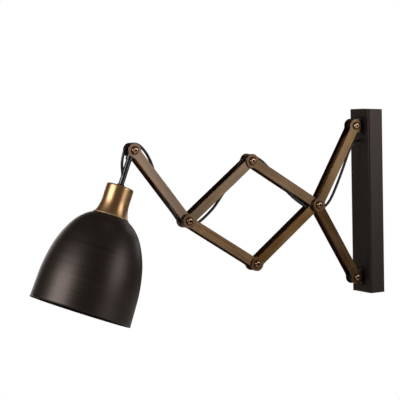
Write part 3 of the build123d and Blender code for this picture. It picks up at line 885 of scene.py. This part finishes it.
def make_collar():
    """A stepped collar where the stem enters the cap."""
    bore, size = STEM_RADIUS + 0.05, COLLAR_RADIUS
    top = CAP_TOP - COLLAR_HEIGHT
    profile = [(bore, CAP_TOP), (size, CAP_TOP), (size, CAP_TOP - 1.2), (size - 0.5, CAP_TOP - 1.5)]
    profile += [(size - 0.5, CAP_TOP - 1.9), (size, CAP_TOP - 2.2)]
    profile += arc((size - 0.5, top + 0.5), 0.5, 0, -90, 5) + [(bore, top), (bore, CAP_TOP)]
    piece = show("turned_collar", down_the_stem(turned(down(profile), dull_brass, segments=64)))
    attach(piece, "lamp_head")
    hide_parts("stem_collar")


def make_screw_shell():
    """The lampholder's brass shell, rolled into the coarse round thread of a bulb."""
    steps = 60
    down_it = [SHELL_TOP + SHELL_LENGTH * i / steps for i in range(steps + 1)]
    profile = [(SHELL_RADIUS, s, THREAD) for s in down_it]
    profile += [(SHELL_RADIUS - SHELL_WALL, s, THREAD) for s in down_it[::-1]]
    profile.append(profile[0])
    thread = {"pitch": 3.63, "depth": 0.7, "crease": 60.0}
    mesh = turned(down(profile), rolled_brass, segments=72, **thread)
    piece = show("rolled_screw_shell", down_the_stem(mesh))
    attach(piece, "lamp_head")
    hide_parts("lampholder_screw_shell")


make_shade()
make_cap()
make_collar()
make_screw_shell()

# ---------------------------------------------------------------- pivot screws
# Each has a domed head with a hexagon socket, standing in a dark flange, and a threaded end.
SHANK = 3.0
DOME = 5.25
DOME_FLAT = 2.9
FLANGE = 6.6
FLANGE_HEIGHT = 1.0
DOME_HEIGHT = 2.4
SOCKET = 2.0
SOCKET_DEPTH = 2.2
NUT_WASHER, NUT, THREAD_END = 1.0, 4.6, 1.2
NUT_END = NUT_WASHER + NUT + THREAD_END
THREAD_LENGTH = 7.0
STEPS_PER_MM = 6
screw_turns = random.Random(11)


def screw_mesh(grip):
    """A screw turned about Z, with its head above z = 0 and a grip that reaches to the nut."""
    top = FLANGE_HEIGHT + DOME_HEIGHT
    floor = top - SOCKET_DEPTH
    marked = ROUND + SECOND_MATERIAL
    profile = [(0.0, floor, marked), (SOCKET, floor, HEXAGON + SECOND_MATERIAL)]
    profile += [(SOCKET, top - 0.25, HEXAGON + SECOND_MATERIAL), (SOCKET + 0.25, top, HEXAGON)]
    width = DOME - DOME_FLAT
    for i in range(9):
        angle = math.radians(90 - 10 * i)
        across, above = width * math.cos(angle), DOME_HEIGHT * math.sin(angle)
        profile.append((DOME_FLAT + across, FLANGE_HEIGHT + above))
    profile += [(DOME, FLANGE_HEIGHT), (DOME + 0.05, FLANGE_HEIGHT - 0.25, marked)]
    profile += [(DOME + 0.35, FLANGE_HEIGHT - 0.25, marked), (DOME + 0.5, FLANGE_HEIGHT, marked)]
    profile += [(FLANGE - 0.35, FLANGE_HEIGHT, marked), (FLANGE, FLANGE_HEIGHT - 0.3, marked)]
    profile += [(FLANGE, 0.0, marked), (SHANK, 0.0, marked)]
    end = -grip - NUT_END
    steps = int(THREAD_LENGTH * STEPS_PER_MM)
    for i in range(steps + 1):
        profile.append((SHANK - 0.2, end + 0.4 + THREAD_LENGTH * (1 - i / steps), THREAD))
    profile += [(SHANK - 0.6, end), (0.0, end)]
    return turned(profile, polished_bronze, oxidised_bronze, segments=60, pitch=1.0, depth=0.4)


def make_screws(name, node_name, body, places):
    """Screws of one body as one piece; a place is (pivot, first layer, last layer)."""
    work = bmesh.new()
    for pivot, first, last in places:
        x, z = PIVOTS[pivot]
        grip = front_face(last) + PAIR_SPACING + PLATE - front_face(first)
        mesh = screw_mesh(grip)
        mesh.transform(Matrix.Rotation(screw_turns.uniform(0, math.pi / 3), 4, "Z"))
        outwards = Matrix(((1, 0, 0), (0, 0, 1), (0, -1, 0))).transposed().to_4x4()
        mesh.transform(Matrix.Translation(metres((x, front_face(first), z))) @ outwards)
        work.from_mesh(mesh)
        materials = list(mesh.materials)
    joined = bpy.data.meshes.new(name)
    work.to_mesh(joined)
    work.free()
    for material in materials:
        joined.materials.append(material)
    piece = show(name, joined)
    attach(piece, body)
    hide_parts(node_name)


wall_places = [("upper_wall", 0, 0), ("lower_wall", 1, 1)]
make_screws("wall_screws", "wall_pivot_screws", "base", wall_places)
make_screws("centre_screw", "centre_pivot_screw", "base", [("centre", 0, 3)])
make_screws("top_screw", "top_pivot_screw", "inner_upper_link", [("top", 2, 3)])
make_screws("bottom_screw", "bottom_pivot_screw", "inner_lower_link", [("bottom", 3, 4)])
make_screws("front_screw", "front_pivot_screw", "outer_upper_link", [("front", 3, 5)])
make_screws("lamp_screw", "lamp_pivot_screw", "end_link", [("lamp", 5, 5)])


# ---------------------------------------------------------------- floor, surroundings and lights
def make_stage():
    """A pale floor well under the lamp. It shows white, and from below it isn't there."""
    made, tree = new_material("pale_studio_floor")
    seen = add(tree, "ShaderNodeLightPath").outputs["Is Camera Ray"]
    back = add(tree, "ShaderNodeNewGeometry").outputs["Backfacing"]
    paper = add(tree, "ShaderNodeBsdfDiffuse", {"Color": colour("#e6e4e0")})
    glow = add(tree, "ShaderNodeEmission", {"Color": (1, 1, 1, 1), "Strength": 1.0})
    shown = add(tree, "ShaderNodeMixShader", {0: seen, 1: paper.outputs[0], 2: glow.outputs[0]})
    clear = add(tree, "ShaderNodeBsdfTransparent")
    either = add(tree, "ShaderNodeMixShader", {0: back, 1: shown.outputs[0], 2: clear.outputs[0]})
    add(tree, "ShaderNodeOutputMaterial", {"Surface": either.outputs[0]})
    mesh = bpy.data.meshes.new("floor")
    half, middle, level = 1.6, -0.3, -0.62
    near, far = middle - half, middle + half
    corners = [(near, -half), (far, -half), (far, half), (near, half)]
    mesh.from_pydata([(x, y, level) for x, y in corners], [], [(0, 1, 2, 3)])
    mesh.materials.append(made)
    show("floor", mesh)


def make_world():
    """White behind the lamp, and a dim warm room for what it reflects."""
    world = bpy.data.worlds.new("studio")
    scene.world = world
    world.use_nodes = True
    tree = world.node_tree
    tree.nodes.clear()
    seen = add(tree, "ShaderNodeLightPath").outputs["Is Camera Ray"]
    room = add(tree, "ShaderNodeBackground", {"Color": colour("#ffe2c6"), "Strength": 0.085})
    white = add(tree, "ShaderNodeBackground", {"Color": (1, 1, 1, 1), "Strength": 1.0})
    both = add(tree, "ShaderNodeMixShader", {0: seen, 1: room.outputs[0], 2: white.outputs[0]})
    add(tree, "ShaderNodeOutputWorld", {"Surface": both.outputs[0]})


# Where the lights aim, near the middle of the lamp, and how far off they stand, in metres
LIGHT_AIM = (-0.3, 0.0, 0.0)
LIGHT_DISTANCE = 2.2


def softbox(name, azimuth, elevation, size, power):
    """An area light at this azimuth from -Y round towards +X, seen from the point it aims at."""
    a, e = math.radians(azimuth), math.radians(elevation)
    towards = Vector((math.sin(a) * math.cos(e), -math.cos(a) * math.cos(e), math.sin(e)))
    data = bpy.data.lights.new(name, "AREA")
    data.shape = "RECTANGLE"
    data.size, data.size_y = size
    data.energy = power
    lamp = bpy.data.objects.new(name, data)
    lamp.location = Vector(LIGHT_AIM) + towards * LIGHT_DISTANCE
    lamp.rotation_mode = "QUATERNION"
    lamp.rotation_quaternion = towards.to_track_quat("Z", "Y")
    lamp.visible_camera = False
    scene.collection.objects.link(lamp)


make_stage()
make_world()
softbox("left_softbox", -86, 19, (1.45, 0.65), 24)
softbox("right_softbox", 33, 11, (1.2, 1.0), 12)
softbox("top_softbox", 40, 72, (1.0, 0.8), 1.0)
softbox("right_back_softbox", 112, 15, (0.9, 1.2), 8)
softbox("back_softbox", 166, 4, (1.8, 1.0), 9)
